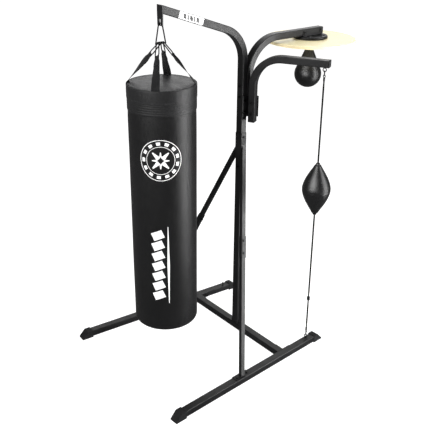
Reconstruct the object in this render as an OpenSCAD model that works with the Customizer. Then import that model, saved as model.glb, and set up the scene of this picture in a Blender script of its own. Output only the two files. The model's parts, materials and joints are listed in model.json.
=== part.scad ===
// Three-station boxing stand: a hanging heavy bag, a speed ball under a rebound board and a
// double-end ball on elastic cords. Millimetres, +Z up. The floor is z = 0 and the origin is
// the middle of the whole object's footprint. The bag hangs at the front, toward -Y.

/* [Tubes] */
// Width of the main rectangular tube, across the stand
tube_w = 45; // [40:1:55]
// Depth of the main rectangular tube
tube_h = 38; // [34:1:45]
// Wall of every tube
tube_wall = 2; // [1.5:0.5:3]
// Width of a brace tube
brace_w = 22; // [20:1:26]
// Depth of a brace tube
brace_h = 28; // [25:1:32]

/* [Base] */
// Distance between the legs' centre lines at the crossbar
leg_spacing = 845; // [780:5:900]
// Angle by which each leg turns outward toward the front
leg_splay = 4.2; // [0:0.1:8]
// Tube length in front of the crossbar's centre line
leg_front = 800; // [740:10:860]
// Tube length behind the crossbar's centre line
leg_rear = 290; // [260:10:340]
// Gap between the floor and the underside of the tubes
leg_lift = 4; // [3:1:8]

/* [Post and arms] */
// Height where the two halves of the post meet
post_joint_z = 1210; // [1180:5:1240]
// Height where the main arm starts to bend
main_bend_z = 1693; // [1660:1:1720]
// Centre-line radius of the main arm's bend
main_bend_r = 189; // [160:1:200]
// Rise of the main arm above the horizontal, in degrees
main_rise = 19; // [15:1:24]
// Distance from the post to the tip of the main arm
main_reach = 530; // [500:5:560]
// Height where the rear arm starts to bend
rear_bend_z = 1596; // [1570:1:1620]
// Centre-line radius of the rear arm's bend
rear_bend_r = 198; // [170:1:210]
// Distance from the post to the tip of the rear arm
rear_reach = 583; // [560:1:600]
// Height where the side arm starts to bend
side_bend_z = 1556; // [1540:1:1570]
// Centre-line radius of the side arm's bend
side_bend_r = 163; // [150:1:170]
// Distance from the side arm's upright to its tip
side_reach = 413; // [405:1:440]
// Direction of the side arm, in degrees from +X toward +Y
side_turn = 28; // [24:1:32]

/* [Heavy bag] */
// Diameter of the bag's body
bag_d = 350; // [320:2:360]
// Height of the bag's underside above the floor
bag_bottom_z = 298; // [250:2:350]
// Height of the bag's top rim above the floor
bag_top_z = 1653; // [1640:1:1660]
// Width of the webbing straps
strap_w = 42; // [36:1:50]

/* [Rebound board and balls] */
// Diameter of the rebound board
board_d = 519; // [480:1:540]
// Thickness of the rebound board
board_t = 18; // [15:1:24]
// Diameter of the speed ball
speed_d = 157; // [140:1:165]
// Diameter of the double-end ball
double_d = 160; // [140:1:170]
// Height of the double-end ball's middle above the floor
double_z = 1020; // [980:5:1060]
// Diameter of the elastic cord
cord_d = 8; // [6:1:8]

/* [Hidden] */
$fn = 64;
EPS = 0.01;

FRAME_BLACK = [0.13, 0.13, 0.14];
RUBBER_BLACK = [0.07, 0.07, 0.08];
VINYL_BLACK = [0.10, 0.10, 0.11];
WEBBING_BLACK = [0.17, 0.17, 0.18];
STEEL_DARK = [0.30, 0.30, 0.32];
ZINC = [0.70, 0.71, 0.73];
PINE = [0.93, 0.83, 0.62];
LABEL_WHITE = [0.95, 0.95, 0.95];

// Main tube and base
corner_r = 4;
tube_top_z = leg_lift + tube_h;
leg_x = leg_spacing / 2;
cap_wall = 3;
cap_grip = 30;
cap_toe = 40;
cap_toe_h = 6;
toe_corner = [tube_w / 2 + cap_wall, leg_front + cap_toe];
front_y = -(toe_corner[1] * cos(leg_splay) + toe_corner[0] * sin(leg_splay));

// Rear arm and what it carries
rear_arm_y = tube_h;
rear_arm_z = rear_bend_z + rear_bend_r;
board_y = 506;
flange_t = 16;
saddle_t = 3;
board_top_z = rear_arm_z - tube_h / 2 - saddle_t - flange_t;
board_under_z = board_top_z - board_t;
rear_y = board_y + board_d / 2;

// The stand's post stands at x = y = 0 in the design; the model is then centred front to rear
mid_y = (front_y + rear_y) / 2;

// Main arm and hanger
main_turn = 90 - main_rise;
main_tip_run = (main_reach - main_bend_r * (1 - cos(main_turn))) / sin(main_turn);
main_tip_z = main_bend_z + main_bend_r * sin(main_turn) + main_tip_run * cos(main_turn);
plate_t = 6;
run_skin = 0.02;
bag_y = -main_reach - plate_t / 2;
plate_bottom_z = main_tip_z - 79;
slot_r = 6;
slot_h = 16;
slot_drop = 2.6; // room under the wire as the ring tilts
ring_pivot_z = plate_bottom_z + 12;
ring_wire_r = 3.5;
ring_apex_r = 12;
ring_half_w = 29.5;
ring_h = 97;
ring_bar_z = ring_pivot_z - ring_h;

bead = 0.3;

// Snap hooks: where each sits along the ring's bar, and the way its strap leaves
HOOKS = [[-18.5, 1, -1], [18.5, 1, 1], [8.5, -1, 1], [-8.5, -1, -1]];
hook_wire_r = 3;
hook_top_r = 9;
hook_low_r = 13;
hook_len = 68;

// Bag
bag_r = bag_d / 2;
neck_r = bag_r - 2.5;
strap_t = 2.2;
band_in_r = norm([neck_r + strap_t, strap_w / 2]) + 0.1;
band_out_r = band_in_r + 2.5;
band_h = 68;
rib_band_h = 59;
cover_t = 3;
base_round = 24;

// Side arm and the double-end ball's line
side_x = 54.5;
side_y = 32;
side_bottom_z = 1361;
side_arm_z = side_bend_z + side_bend_r;
eye_reach = side_reach - 23;
eye_x = side_x + eye_reach * cos(side_turn);
eye_y = side_y + eye_reach * sin(side_turn);
eye_wire_r = 2.5;
eye_r = 9;
eye_neck = 5;
eye_stem_r = 3;
hook_eye_z = side_arm_z - tube_h / 2 - eye_neck - eye_r;
anchor_eye_z = tube_top_z + eye_neck + eye_r;
link_wire_r = 2;
link_r = 6.5;
link_len = 27;
play = 0.05;
upper_link_top = hook_eye_z - eye_r + eye_wire_r + link_wire_r + play;
upper_link_low = upper_link_top - link_len;
lower_link_low = anchor_eye_z + eye_r - eye_wire_r - link_wire_r - play;
lower_link_top = lower_link_low + link_len;
cord_r = cord_d / 2;
cord_eye_r = 6;
ferrule_r = 5.5;
ferrule_h = 20;
ferrule_cap = 6;
upper_cord_eye_z = upper_link_low + 2 * link_wire_r + play - cord_eye_r;
lower_cord_eye_z = lower_link_top - 2 * link_wire_r - play + cord_eye_r;
double_half_h = 153;
tail_r = 11;
socket_r = 7.5;
socket_depth = 34;
double_low_z = double_z - double_half_h;
cord_tip_z = double_low_z + 22;
stopper_z = 308;

// Speed ball and swivel
speed_z = 1547;
speed_r = speed_d / 2;
pin_z = board_under_z - 31.5;
pin_r = 3;
neck_top_z = pin_z - 12;
neck_top_r = 20;
skin_t = 3;

// Braces
brace_foot_y = -340;
brace_foot_x = leg_x + 340 * tan(leg_splay);
brace_top_z = 1195;
collar_wall = 3;
collar_low_z = 1135;
collar_top_z = 1288;
brace_dx = brace_foot_x - tube_w / 2;
brace_dz = brace_top_z - tube_top_z;
brace_len = norm([brace_dx, brace_foot_y, brace_dz]);
brace_lean = asin(-brace_foot_y / brace_len);
brace_tilt = atan2(brace_dx, brace_dz);
brace_joint_from = 0.52;
brace_joint_to = 0.615;

// Fasteners
bolt_r = 4;
head_h = 5;
head_af = 13;
nut_h = 6.5;

module in_place() translate([0, -mid_y, 0]) children();

module rounded_rect(w, h, r) {
    square([w - 2 * r, h], center = true);
    square([w, h - 2 * r], center = true);
    for (sx = [-1, 1], sy = [-1, 1])
        translate([sx * (w / 2 - r), sy * (h / 2 - r)]) circle(r = r);
}

// Section of a rectangular tube, w along x and h along y, with both faces of its wall grown by skin
module tube_section(w, h, r = corner_r, skin = 0) {
    inner = 2 * (tube_wall + skin);
    difference() {
        rounded_rect(w + 2 * skin, h + 2 * skin, r);
        rounded_rect(w - inner, h - inner, r - tube_wall);
    }
}

// A tube that rises, bends toward +X by turn degrees and runs on straight. The run laps the bend
// by lap and stands proud of it by skin, so that a bend of any angle joins cleanly.
module bent_tube(rise, bend_r, turn, run, lap = 0, skin = 0) {
    linear_extrude(rise) tube_section(tube_h, tube_w);
    translate([bend_r, 0, rise]) rotate([90, 0, 0]) rotate([0, 0, 180])
        rotate_extrude(angle = -turn) translate([bend_r, 0]) tube_section(tube_h, tube_w);
    translate([bend_r * (1 - cos(turn)), 0, rise + bend_r * sin(turn)]) rotate([0, turn, 0])
        translate([0, 0, -lap]) linear_extrude(run + lap) tube_section(tube_h, tube_w, skin = skin);
}

// A round bar between two points
module rod(from, to, r) {
    reach = to - from;
    translate(from) rotate([0, acos(reach[2] / norm(reach)), atan2(reach[1], reach[0])])
        cylinder(r = r, h = norm(reach));
}

// Part of a wire ring in the XY plane
module wire_arc(ring_r, wire_r, from, to) {
    rotate([0, 0, from]) rotate_extrude(angle = to - from) translate([ring_r, 0]) circle(r = wire_r);
}

module wire_ring(ring_r, wire_r) rotate_extrude() translate([ring_r, 0]) circle(r = wire_r);

// Turns a shape drawn in the XY plane upright: x stays, y becomes z
module upright() rotate([90, 0, 0]) children();

// Hex-head bolt: the underside of its head is at z = 0 and the shank goes down
module bolt(length) {
    translate([0, 0, -length]) cylinder(r = bolt_r, h = length + EPS);
    cylinder(d = head_af / cos(30), h = head_h, $fn = 6);
}

module nut() {
    difference() {
        cylinder(d = head_af / cos(30), h = nut_h, $fn = 6);
        translate([0, 0, -1]) cylinder(r = bolt_r, h = nut_h + 2);
    }
}

// Bolt right through a tube of the given depth, with its nut on the far side
module through_bolt(depth) {
    bolt(depth + nut_h + 3);
    translate([0, 0, -depth - nut_h]) nut();
}

module bolt_hole(depth) translate([0, 0, -depth - 1]) cylinder(r = bolt_r, h = depth + 2);

// ---- Base ----

// Frame of a leg: x across it, y along it, zero where the crossbar meets it
module on_leg(side) translate([side * leg_x, 0, 0]) rotate([0, 0, side * leg_splay]) children();

// What a leg takes out of the pieces that butt against its sides
module leg_space(side) {
    on_leg(side) translate([-tube_w / 2, -leg_front, 0]) cube([tube_w, leg_front + leg_rear, 2 * tube_top_z]);
}

module at_foot_plate_screws(side) {
    on_leg(side)
        for (along = [brace_foot_y / cos(leg_splay) - 38, brace_foot_y / cos(leg_splay) + 38])
            translate([0, along, tube_top_z + foot_plate_t]) children();
}

foot_plate_t = 4;
bracket_t = 4;
bracket_reach = 60;
bracket_h = 32;
bracket_z = leg_lift + tube_h / 2;

// Crossbar-side and leg-side screws of a corner bracket
module at_bracket_screws(side) {
    inner = (tube_w / 2) * (1 + sin(leg_splay)) / cos(leg_splay);
    translate([side * (leg_x - tube_w / 2 - bracket_reach + 18), tube_w / 2 + bracket_t, bracket_z])
        rotate([-90, 0, 0]) children();
    on_leg(side) translate([-side * (tube_w / 2 + bracket_t), inner + bracket_reach - 18, bracket_z])
        rotate([0, -side * 90, 0]) children();
}

module at_anchor_eye(side) translate([side * eye_x, eye_y, 0]) children();

module leg(side) {
    color(FRAME_BLACK) in_place() difference() {
        on_leg(side) translate([0, leg_rear, leg_lift + tube_h / 2]) rotate([90, 0, 0])
            linear_extrude(leg_front + leg_rear) tube_section(tube_w, tube_h);
        at_foot_plate_screws(side) bolt_hole(16);
        at_bracket_screws(side) bolt_hole(16);
        at_anchor_eye(side) translate([0, 0, tube_top_z - 14]) cylinder(r = eye_stem_r, h = 20);
    }
}

module leg_left() leg(-1);
module leg_right() leg(1);

// Wedge-toed rubber foot over the end of a leg; end is -1 at the front and 1 at the rear
module foot(side, end) {
    tube_end = end < 0 ? leg_front : leg_rear;
    outer_w = tube_w + 2 * cap_wall;
    top_z = tube_top_z + cap_wall;
    color(RUBBER_BLACK) in_place() on_leg(side) difference() {
        translate([-outer_w / 2, 0, 0]) rotate([90, 0, 90]) linear_extrude(outer_w)
            polygon([[end * (tube_end - cap_grip), 0], [end * (tube_end + cap_toe), 0],
                [end * (tube_end + cap_toe), cap_toe_h], [end * (tube_end + 4), top_z],
                [end * (tube_end - cap_grip), top_z]]);
        translate([0, end * tube_end, leg_lift + tube_h / 2]) rotate([90 * end, 0, 0])
            linear_extrude(cap_grip + 1) rounded_rect(tube_w, tube_h, corner_r);
    }
}

module foot_front_left() foot(-1, -1);
module foot_front_right() foot(1, -1);
module foot_rear_left() foot(-1, 1);
module foot_rear_right() foot(1, 1);

module at_post_foot_screws() {
    for (sx = [-1, 1]) translate([sx * 36, 0, tube_top_z + post_foot_t]) children();
}

module crossbar() {
    color(FRAME_BLACK) in_place() difference() {
        translate([-leg_x, 0, leg_lift + tube_h / 2]) rotate([90, 0, 90]) linear_extrude(2 * leg_x)
            tube_section(tube_w, tube_h);
        leg_space(-1);
        leg_space(1);
        at_post_foot_screws() bolt_hole(16);
        for (side = [-1, 1]) at_bracket_screws(side) bolt_hole(16);
    }
}

module corner_bracket(side) {
    color(FRAME_BLACK) in_place() difference() {
        translate([0, 0, bracket_z - bracket_h / 2]) linear_extrude(bracket_h) difference() {
            union() {
                translate([side > 0 ? leg_x - tube_w / 2 - bracket_reach : -leg_x, tube_w / 2])
                    square([bracket_reach + tube_w / 2, bracket_t]);
                on_leg(side) translate([side > 0 ? -tube_w / 2 - bracket_t : 0, tube_w / 2 + 2])
                    square([bracket_t + tube_w / 2, bracket_reach - 2]);
            }
            on_leg(side) translate([-tube_w / 2, -leg_front]) square([tube_w, leg_front + leg_rear]);
        }
        at_bracket_screws(side) bolt_hole(16);
    }
}

module corner_bracket_left() corner_bracket(-1);
module corner_bracket_right() corner_bracket(1);

// ---- Post ----

post_foot_t = 5;
insert_low_z = 1060;
insert_top_z = 1290;

module post_foot() {
    color(FRAME_BLACK) in_place() difference() {
        translate([-52, -tube_w / 2, tube_top_z]) cube([104, tube_w, post_foot_t]);
        at_post_foot_screws() bolt_hole(16);
    }
}

// Bolts through the post: front face, heights of the insert's bolt and of the rear arm's bolts
FRONT_BOLTS = [1087, 1494, 1553];

module at_insert_bolt() translate([0, -tube_h / 2, FRONT_BOLTS[0]]) rotate([90, 0, 0]) children();

module at_rear_arm_bolts() {
    for (i = [1, 2]) translate([0, -tube_h / 2, FRONT_BOLTS[i]]) rotate([90, 0, 0]) children();
}

module at_collar_bolt() translate([tube_w / 2 + collar_wall, 0, 1265]) rotate([0, 90, 0]) children();

module post_lower() {
    color(FRAME_BLACK) in_place() difference() {
        translate([0, 0, tube_top_z + post_foot_t]) linear_extrude(post_joint_z - tube_top_z - post_foot_t)
            tube_section(tube_w, tube_h);
        at_insert_bolt() bolt_hole(tube_h);
    }
}

module post_insert() {
    color(STEEL_DARK) in_place() difference() {
        translate([0, 0, insert_low_z]) linear_extrude(insert_top_z - insert_low_z)
            tube_section(tube_w - 2 * tube_wall, tube_h - 2 * tube_wall, 3);
        at_insert_bolt() bolt_hole(tube_h);
        at_collar_bolt() bolt_hole(tube_w + 2 * collar_wall);
    }
}

module post_collar() {
    color(FRAME_BLACK) in_place() difference() {
        translate([0, 0, collar_low_z]) linear_extrude(collar_top_z - collar_low_z) difference() {
            rounded_rect(tube_w + 2 * collar_wall, tube_h + 2 * collar_wall, corner_r + collar_wall);
            rounded_rect(tube_w, tube_h, corner_r);
        }
        at_collar_bolt() bolt_hole(tube_w + 2 * collar_wall);
    }
}

// ---- Main arm and hanger ----

module main_arm() {
    color(FRAME_BLACK) in_place() difference() {
        translate([0, 0, post_joint_z]) rotate([0, 0, -90])
            bent_tube(main_bend_z - post_joint_z, main_bend_r, main_turn, main_tip_run + tube_h,
                lap = 0.5, skin = run_skin);
        translate([-tube_w, -main_reach - 200, main_tip_z - 100]) cube([2 * tube_w, 200, 300]);
        at_collar_bolt() bolt_hole(tube_w + 2 * collar_wall);
        at_rear_arm_bolts() bolt_hole(tube_h);
        at_bracket_post_bolts() bolt_hole(tube_w + side_plate_t);
    }
}

// Plate that closes the arm's tip and hangs below it, with the slot that the delta ring rocks in
module hanger_plate() {
    top_z = main_tip_z + tube_h / 2 / sin(main_turn);
    side_z = main_tip_z - 24;
    low_z = ring_pivot_z - 12.2; // leaves the ring free to tilt past its limit
    low_half_w = 21;
    corner_r = 6;
    color(FRAME_BLACK) in_place() translate([0, -main_reach, 0]) upright() linear_extrude(plate_t)
        difference() {
            union() {
                translate([-tube_w / 2, side_z]) square([tube_w, top_z - side_z]);
                polygon([[-tube_w / 2, side_z + 4], [-tube_w / 2, side_z], [-low_half_w, low_z + corner_r],
                    [low_half_w, low_z + corner_r], [tube_w / 2, side_z], [tube_w / 2, side_z + 4]]);
                translate([corner_r - low_half_w, low_z]) square([2 * (low_half_w - corner_r), corner_r + 1]);
                for (side = [-1, 1])
                    translate([side * (low_half_w - corner_r), low_z + corner_r]) circle(r = corner_r);
            }
            translate([0, ring_pivot_z - slot_drop]) circle(r = slot_r);
            translate([-slot_r, ring_pivot_z - slot_drop]) square([2 * slot_r, slot_h + slot_drop]);
            translate([0, ring_pivot_z + slot_h]) circle(r = slot_r);
        }
}

label_len = 156;
label_h = 34;
label_t = 0.6;

module arm_label() {
    color(LABEL_WHITE) in_place() translate([tube_w / 2 + run_skin, -main_reach, main_tip_z]) rotate([-main_rise, 0, 0])
        translate([0, 100, -label_h / 2]) cube([label_t, label_len, label_h]);
}

// ---- Rear arm and rebound board ----

rear_arm_low_z = 1440;
SADDLE_BOLTS = [440, 561];

module at_saddle_bolts() {
    for (y = SADDLE_BOLTS) translate([tube_w / 2 + saddle_t, y, rear_arm_z]) rotate([0, 90, 0]) children();
}

module rear_arm() {
    color(FRAME_BLACK) in_place() difference() {
        translate([0, rear_arm_y, rear_arm_low_z]) rotate([0, 0, 90])
            bent_tube(rear_bend_z - rear_arm_low_z, rear_bend_r, 90, rear_reach - rear_arm_y - rear_bend_r);
        translate([0, rear_arm_y, 0]) at_rear_arm_bolts() bolt_hole(tube_h);
        at_saddle_bolts() bolt_hole(tube_w + 2 * saddle_t);
    }
}

// Moulded plug that closes the end of a tube: the tube's mouth is at z = 0 and its inside is below
module tube_plug() {
    linear_extrude(3) rounded_rect(tube_h, tube_w, corner_r);
    translate([0, 0, -14]) linear_extrude(14 + EPS)
        rounded_rect(tube_h - 2 * tube_wall - 0.2, tube_w - 2 * tube_wall - 0.2, 1.9);
}

module rear_arm_cap() {
    color(RUBBER_BLACK) in_place() translate([0, rear_reach, rear_arm_z]) rotate([0, 0, 90]) rotate([0, 90, 0])
        tube_plug();
}

module board_saddle() {
    from_y = SADDLE_BOLTS[0] - 16;
    length = SADDLE_BOLTS[1] - SADDLE_BOLTS[0] + 32;
    side_h = tube_h / 2 + 10;
    color(FRAME_BLACK) in_place() difference() {
        translate([0, from_y, rear_arm_z - tube_h / 2]) {
            translate([-tube_w / 2 - saddle_t, 0, -saddle_t]) cube([tube_w + 2 * saddle_t, length, saddle_t]);
            for (x = [-tube_w / 2 - saddle_t, tube_w / 2]) translate([x, 0, -EPS]) cube([saddle_t, length, side_h]);
        }
        at_saddle_bolts() bolt_hole(tube_w + 2 * saddle_t);
    }
}

flange_r = 100;

module at_flange_screws() {
    for (a = [45:90:315]) translate([0, board_y, board_top_z + flange_t]) rotate([0, 0, a])
        translate([flange_r - 20, 0, 0]) children();
}

module board_flange() {
    color(FRAME_BLACK) in_place() difference() {
        translate([0, board_y, board_top_z]) rotate_extrude() {
            square([flange_r - 6, flange_t]);
            translate([0, 6]) square([flange_r, flange_t - 12]);
            for (z = [6, flange_t - 6]) translate([flange_r - 6, z]) circle(r = 6);
        }
        at_flange_screws() bolt_hole(flange_t + board_t);
    }
}

module rebound_board() {
    edge_r = 5;
    color(PINE) in_place() difference() {
        translate([0, board_y, board_under_z]) rotate_extrude() {
            square([board_d / 2 - edge_r, board_t]);
            translate([0, edge_r]) square([board_d / 2, board_t - 2 * edge_r]);
            for (z = [edge_r, board_t - edge_r]) translate([board_d / 2 - edge_r, z]) circle(r = edge_r);
        }
        at_flange_screws() bolt_hole(flange_t + board_t);
        at_swivel_screws() bolt_hole(18);
    }
}

swivel_plate_r = 36;
swivel_plate_t = 5.5;
boss_r = 14;
boss_h = 10;
stud_r = 5;
stud_head_r = 8;
stud_head_h = 5;

module at_swivel_screws() {
    for (a = [0:90:270]) translate([0, board_y, board_under_z - swivel_plate_t]) rotate([180, 0, a])
        translate([26, 0, 0]) children();
}

module swivel_base() {
    color(STEEL_DARK) in_place() difference() {
        translate([0, board_y, board_under_z - swivel_plate_t]) union() {
            cylinder(r = swivel_plate_r, h = swivel_plate_t);
            translate([0, 0, -boss_h]) cylinder(r = boss_r, h = boss_h + EPS);
        }
        translate([0, board_y, board_under_z - swivel_plate_t - boss_h - 1]) cylinder(r = stud_r + play, h = 40);
        translate([0, board_y, board_under_z - swivel_plate_t - 4]) cylinder(r = stud_head_r + 1, h = 40);
        at_swivel_screws() bolt_hole(18);
    }
}

// ---- Side arm and its eye ----

side_plate_t = 4;
SIDE_BOLT_Z = [1475, 1413];

module on_side_arm() translate([side_x, side_y, 0]) rotate([0, 0, side_turn]) children();

// Bolts of the bracket's post flange: through the post's side
module at_bracket_post_bolts() {
    for (z = SIDE_BOLT_Z) translate([tube_w / 2 + side_plate_t, 0, z]) rotate([0, 90, 0]) children();
}

// Bolts of the bracket's arm flange: through the arm from its front face
module at_bracket_arm_bolts() {
    on_side_arm() for (z = SIDE_BOLT_Z) translate([-4, -tube_w / 2, z - 7]) rotate([90, 0, 0]) children();
}

module side_arm() {
    color(FRAME_BLACK) in_place() difference() {
        on_side_arm() translate([0, 0, side_bottom_z])
            bent_tube(side_bend_z - side_bottom_z, side_bend_r, 90, side_reach - side_bend_r);
        at_bracket_arm_bolts() bolt_hole(tube_w + side_plate_t);
        translate([eye_x, eye_y, side_arm_z - tube_h / 2 - 6]) cylinder(r = eye_stem_r, h = 20);
    }
}

module side_arm_cap() {
    color(RUBBER_BLACK) in_place() on_side_arm() translate([side_reach, 0, side_arm_z]) rotate([0, 90, 0]) tube_plug();
}

module side_arm_plug() {
    color(RUBBER_BLACK) in_place() on_side_arm() translate([0, 0, side_bottom_z]) rotate([180, 0, 0]) tube_plug();
}

// Bent plate: one flange flat on the side of the post, the other behind the side arm
module side_arm_bracket() {
    bend_x = tube_w / 2;
    low_z = SIDE_BOLT_Z[1] - 30;
    high_z = SIDE_BOLT_Z[0] + 25;
    color(FRAME_BLACK) in_place() difference() {
        translate([0, 0, low_z]) linear_extrude(high_z - low_z) difference() {
            union() {
                translate([bend_x, -17]) square([side_plate_t, 61]);
                translate([side_x, side_y]) rotate([0, 0, side_turn])
                    translate([-38, tube_w / 2]) square([tube_h / 2 + 44, side_plate_t]);
            }
            translate([0, -60]) square([bend_x, 160]);
            translate([side_x, side_y]) rotate([0, 0, side_turn]) square([tube_h, tube_w], center = true);
        }
        at_bracket_post_bolts() bolt_hole(tube_w + side_plate_t);
        at_bracket_arm_bolts() bolt_hole(tube_w + side_plate_t);
    }
}

// Eye on a stem: the ring's centre is at the origin, its plane is XZ and the stem rises
module eye(stem) {
    upright() wire_ring(eye_r, eye_wire_r);
    translate([0, 0, eye_r]) cylinder(r = eye_stem_r, h = eye_neck + stem);
    translate([0, 0, eye_r + 2]) cylinder(r = 7, h = eye_neck - 2);
}

module hook_eye() {
    color(ZINC) in_place() translate([eye_x, eye_y, hook_eye_z]) rotate([0, 0, side_turn]) eye(12);
}

module anchor_eye(side) {
    color(ZINC) in_place() translate([side * eye_x, eye_y, anchor_eye_z]) rotate([0, 0, side * side_turn])
        rotate([180, 0, 0]) eye(12);
}

module anchor_eye_left() anchor_eye(-1);
module anchor_eye_right() anchor_eye(1);

// ---- Braces ----

// Frame of a brace: z runs up along it from its foot on the leg
module on_brace(side) {
    translate([side * brace_foot_x, brace_foot_y, tube_top_z])
        rotate([0, -side * brace_tilt, 0]) rotate([-brace_lean, 0, 0]) children();
}

module brace_tube(side, from, to) {
    on_brace(side) translate([0, 0, from * brace_len]) linear_extrude((to - from) * brace_len)
        tube_section(brace_w, brace_h, 3);
}

module at_brace_joint_bolts(side) {
    for (t = [brace_joint_from + 0.02, brace_joint_to - 0.02])
        on_brace(side) translate([side * (brace_w / 2 + 3), 0, t * brace_len]) rotate([0, side * 90, 0]) children();
}

brace_split = (brace_joint_from + brace_joint_to) / 2;

module brace_upper(side) {
    color(FRAME_BLACK) in_place() difference() {
        brace_tube(side, brace_split, 1.04);
        translate([side * (tube_w / 2 + collar_wall - 100), 0, collar_top_z - 100]) cube(200, center = true);
        at_brace_joint_bolts(side) bolt_hole(brace_w + 6);
    }
}

// Lower brace tube, welded to the plate that is screwed to the leg
module brace_lower(side) {
    color(FRAME_BLACK) in_place() difference() {
        union() {
            difference() {
                brace_tube(side, -0.03, brace_split);
                translate([side * brace_foot_x - 100, brace_foot_y - 100, tube_top_z - 200])
                    cube([200, 200, 200 + foot_plate_t / 2]);
            }
            on_leg(side) translate([-tube_w / 2, brace_foot_y / cos(leg_splay) - 54, tube_top_z])
                cube([tube_w, 108, foot_plate_t]);
        }
        at_foot_plate_screws(side) bolt_hole(16);
        at_brace_joint_bolts(side) bolt_hole(brace_w + 6);
    }
}

module brace_joint(side) {
    color(FRAME_BLACK) in_place() difference() {
        on_brace(side) translate([0, 0, brace_joint_from * brace_len])
            linear_extrude((brace_joint_to - brace_joint_from) * brace_len) difference() {
                rounded_rect(brace_w + 6, brace_h + 6, 6);
                rounded_rect(brace_w, brace_h, 3);
            }
        at_brace_joint_bolts(side) bolt_hole(brace_w + 6);
    }
}

module brace_upper_left() brace_upper(-1);
module brace_upper_right() brace_upper(1);
module brace_joint_left() brace_joint(-1);
module brace_joint_right() brace_joint(1);
module brace_lower_left() brace_lower(-1);
module brace_lower_right() brace_lower(1);

// ---- Fasteners ----

module base_screws() {
    color(STEEL_DARK) in_place() {
        at_post_foot_screws() bolt(15);
        for (side = [-1, 1]) {
            at_foot_plate_screws(side) bolt(15);
            at_bracket_screws(side) bolt(15);
        }
    }
}

module post_bolts() {
    color(STEEL_DARK) in_place() {
        at_insert_bolt() through_bolt(tube_h);
        at_rear_arm_bolts() through_bolt(2 * tube_h);
        at_collar_bolt() through_bolt(tube_w + 2 * collar_wall);
        at_bracket_post_bolts() through_bolt(tube_w + side_plate_t);
    }
}

module arm_bolts() {
    color(STEEL_DARK) in_place() {
        at_bracket_arm_bolts() through_bolt(tube_w + side_plate_t);
        at_saddle_bolts() through_bolt(tube_w + 2 * saddle_t);
    }
}

module brace_bolts() {
    color(STEEL_DARK) in_place() for (side = [-1, 1]) at_brace_joint_bolts(side) through_bolt(brace_w + 6);
}

module board_screws() {
    color(ZINC) in_place() {
        at_flange_screws() bolt(flange_t + board_t - 2);
        at_swivel_screws() bolt(15);
    }
}

// ---- Hanger ring and snap hooks ----

// Angle above the horizontal at which a side of the ring leaves its rounded apex
ring_side_reach = [ring_half_w, ring_apex_r - ring_h];
ring_side_angle = atan2(ring_side_reach[1], ring_side_reach[0]) + acos(ring_apex_r / norm(ring_side_reach));

// Straight side of a bent-wire shape in the XY plane, with a weld bead at each end
module wire_side(from, to, r) {
    rod([from[0], from[1], 0], [to[0], to[1], 0], r);
    for (p = [from, to]) translate([p[0], p[1], 0]) sphere(r = r + bead);
}

// Triangle-shaped ring: its apex rocks in the plate's slot and its bottom bar carries the hooks
module delta_ring() {
    a = ring_side_angle;
    color(STEEL_DARK) in_place() translate([0, bag_y, ring_pivot_z]) rotate([90, 0, 90]) {
        translate([0, -ring_apex_r]) wire_arc(ring_apex_r, ring_wire_r, a, 180 - a);
        for (side = [-1, 1])
            wire_side([side * ring_apex_r * cos(a), ring_apex_r * (sin(a) - 1)], [side * ring_half_w, -ring_h],
                ring_wire_r);
        rod([-ring_half_w, -ring_h, 0], [ring_half_w, -ring_h, 0], ring_wire_r);
    }
}

rim_reach = (neck_r + strap_t / 2) / sqrt(2);
rim_z = bag_top_z + strap_t / 2;

// The way a strap leaves the ring's bar, and its length as far as the rim
function hook_from(h) = [0, bag_y + h[0], ring_bar_z];
function rim_point(h) = [h[1] * rim_reach, bag_y + h[2] * rim_reach, rim_z];
function hook_way(h) = let (v = rim_point(h) - hook_from(h)) v / norm(v);
// Across the hook, square to its length and as near to +X or -X as can be
function hook_across(h) = let (d = hook_way(h), v = [h[1], 0, 0] - h[1] * d[0] * d) v / norm(v);
function hook_normal(h) = cross(hook_across(h), hook_way(h));

// Puts a shape drawn in the XY plane onto a hook: x across it and y back up along it
module on_hook(h) {
    x = hook_across(h);
    y = -hook_way(h);
    z = cross(x, y);
    p = hook_from(h);
    multmatrix([[x[0], y[0], z[0], p[0]], [x[1], y[1], z[1], p[1]], [x[2], y[2], z[2], p[2]], [0, 0, 0, 1]])
        children();
}

hook_slack = 1.1; // a hook leans along the bar, which brings its wire nearer
hook_top_y = ring_wire_r + hook_wire_r + play + hook_slack;
hook_top_centre = hook_top_y - hook_top_r;
hook_low_centre = hook_low_r - hook_len;
hook_side_angle = asin((hook_low_r - hook_top_r) / (hook_top_centre - hook_low_centre));

module snap_hook(h) {
    a = hook_side_angle;
    on_hook(h) {
        translate([0, hook_top_centre]) wire_arc(hook_top_r, hook_wire_r, a, 180 - a);
        translate([0, hook_low_centre]) wire_arc(hook_low_r, hook_wire_r, 180 - a, 360 + a);
        for (m = [0, 1]) mirror([m, 0, 0])
            wire_side([hook_top_r * cos(a), hook_top_centre + hook_top_r * sin(a)],
                [hook_low_r * cos(a), hook_low_centre + hook_low_r * sin(a)], hook_wire_r);
    }
}

module snap_hooks() {
    color(STEEL_DARK) in_place() for (h = HOOKS) snap_hook(h);
}

// ---- Straps ----

STRAP_STEPS = 16;
strap_top_w = 24;
strap_tail = 56;

function blend(a, b, t) = a + (b - a) * t;
function smooth(t) = t * t * (3 - 2 * t);
function unit(v) = v / norm(v);
function rim_tangent(h) = unit([-h[2], h[1], 0]) * (h[1] * h[2] > 0 ? -1 : 1);

// Centre of the strap at step i: straight from the hook to the rim, then down the bag's side
function strap_start(h) = hook_from(h) + (hook_len + hook_wire_r + strap_t / 2 + 0.3) * hook_way(h);
function strap_point(h, i) = i < STRAP_STEPS
    ? blend(strap_start(h), rim_point(h), i / (STRAP_STEPS - 1))
    : rim_point(h) - [0, 0, strap_t / 2 + strap_tail * (i - STRAP_STEPS + 1) / 2];
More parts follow.
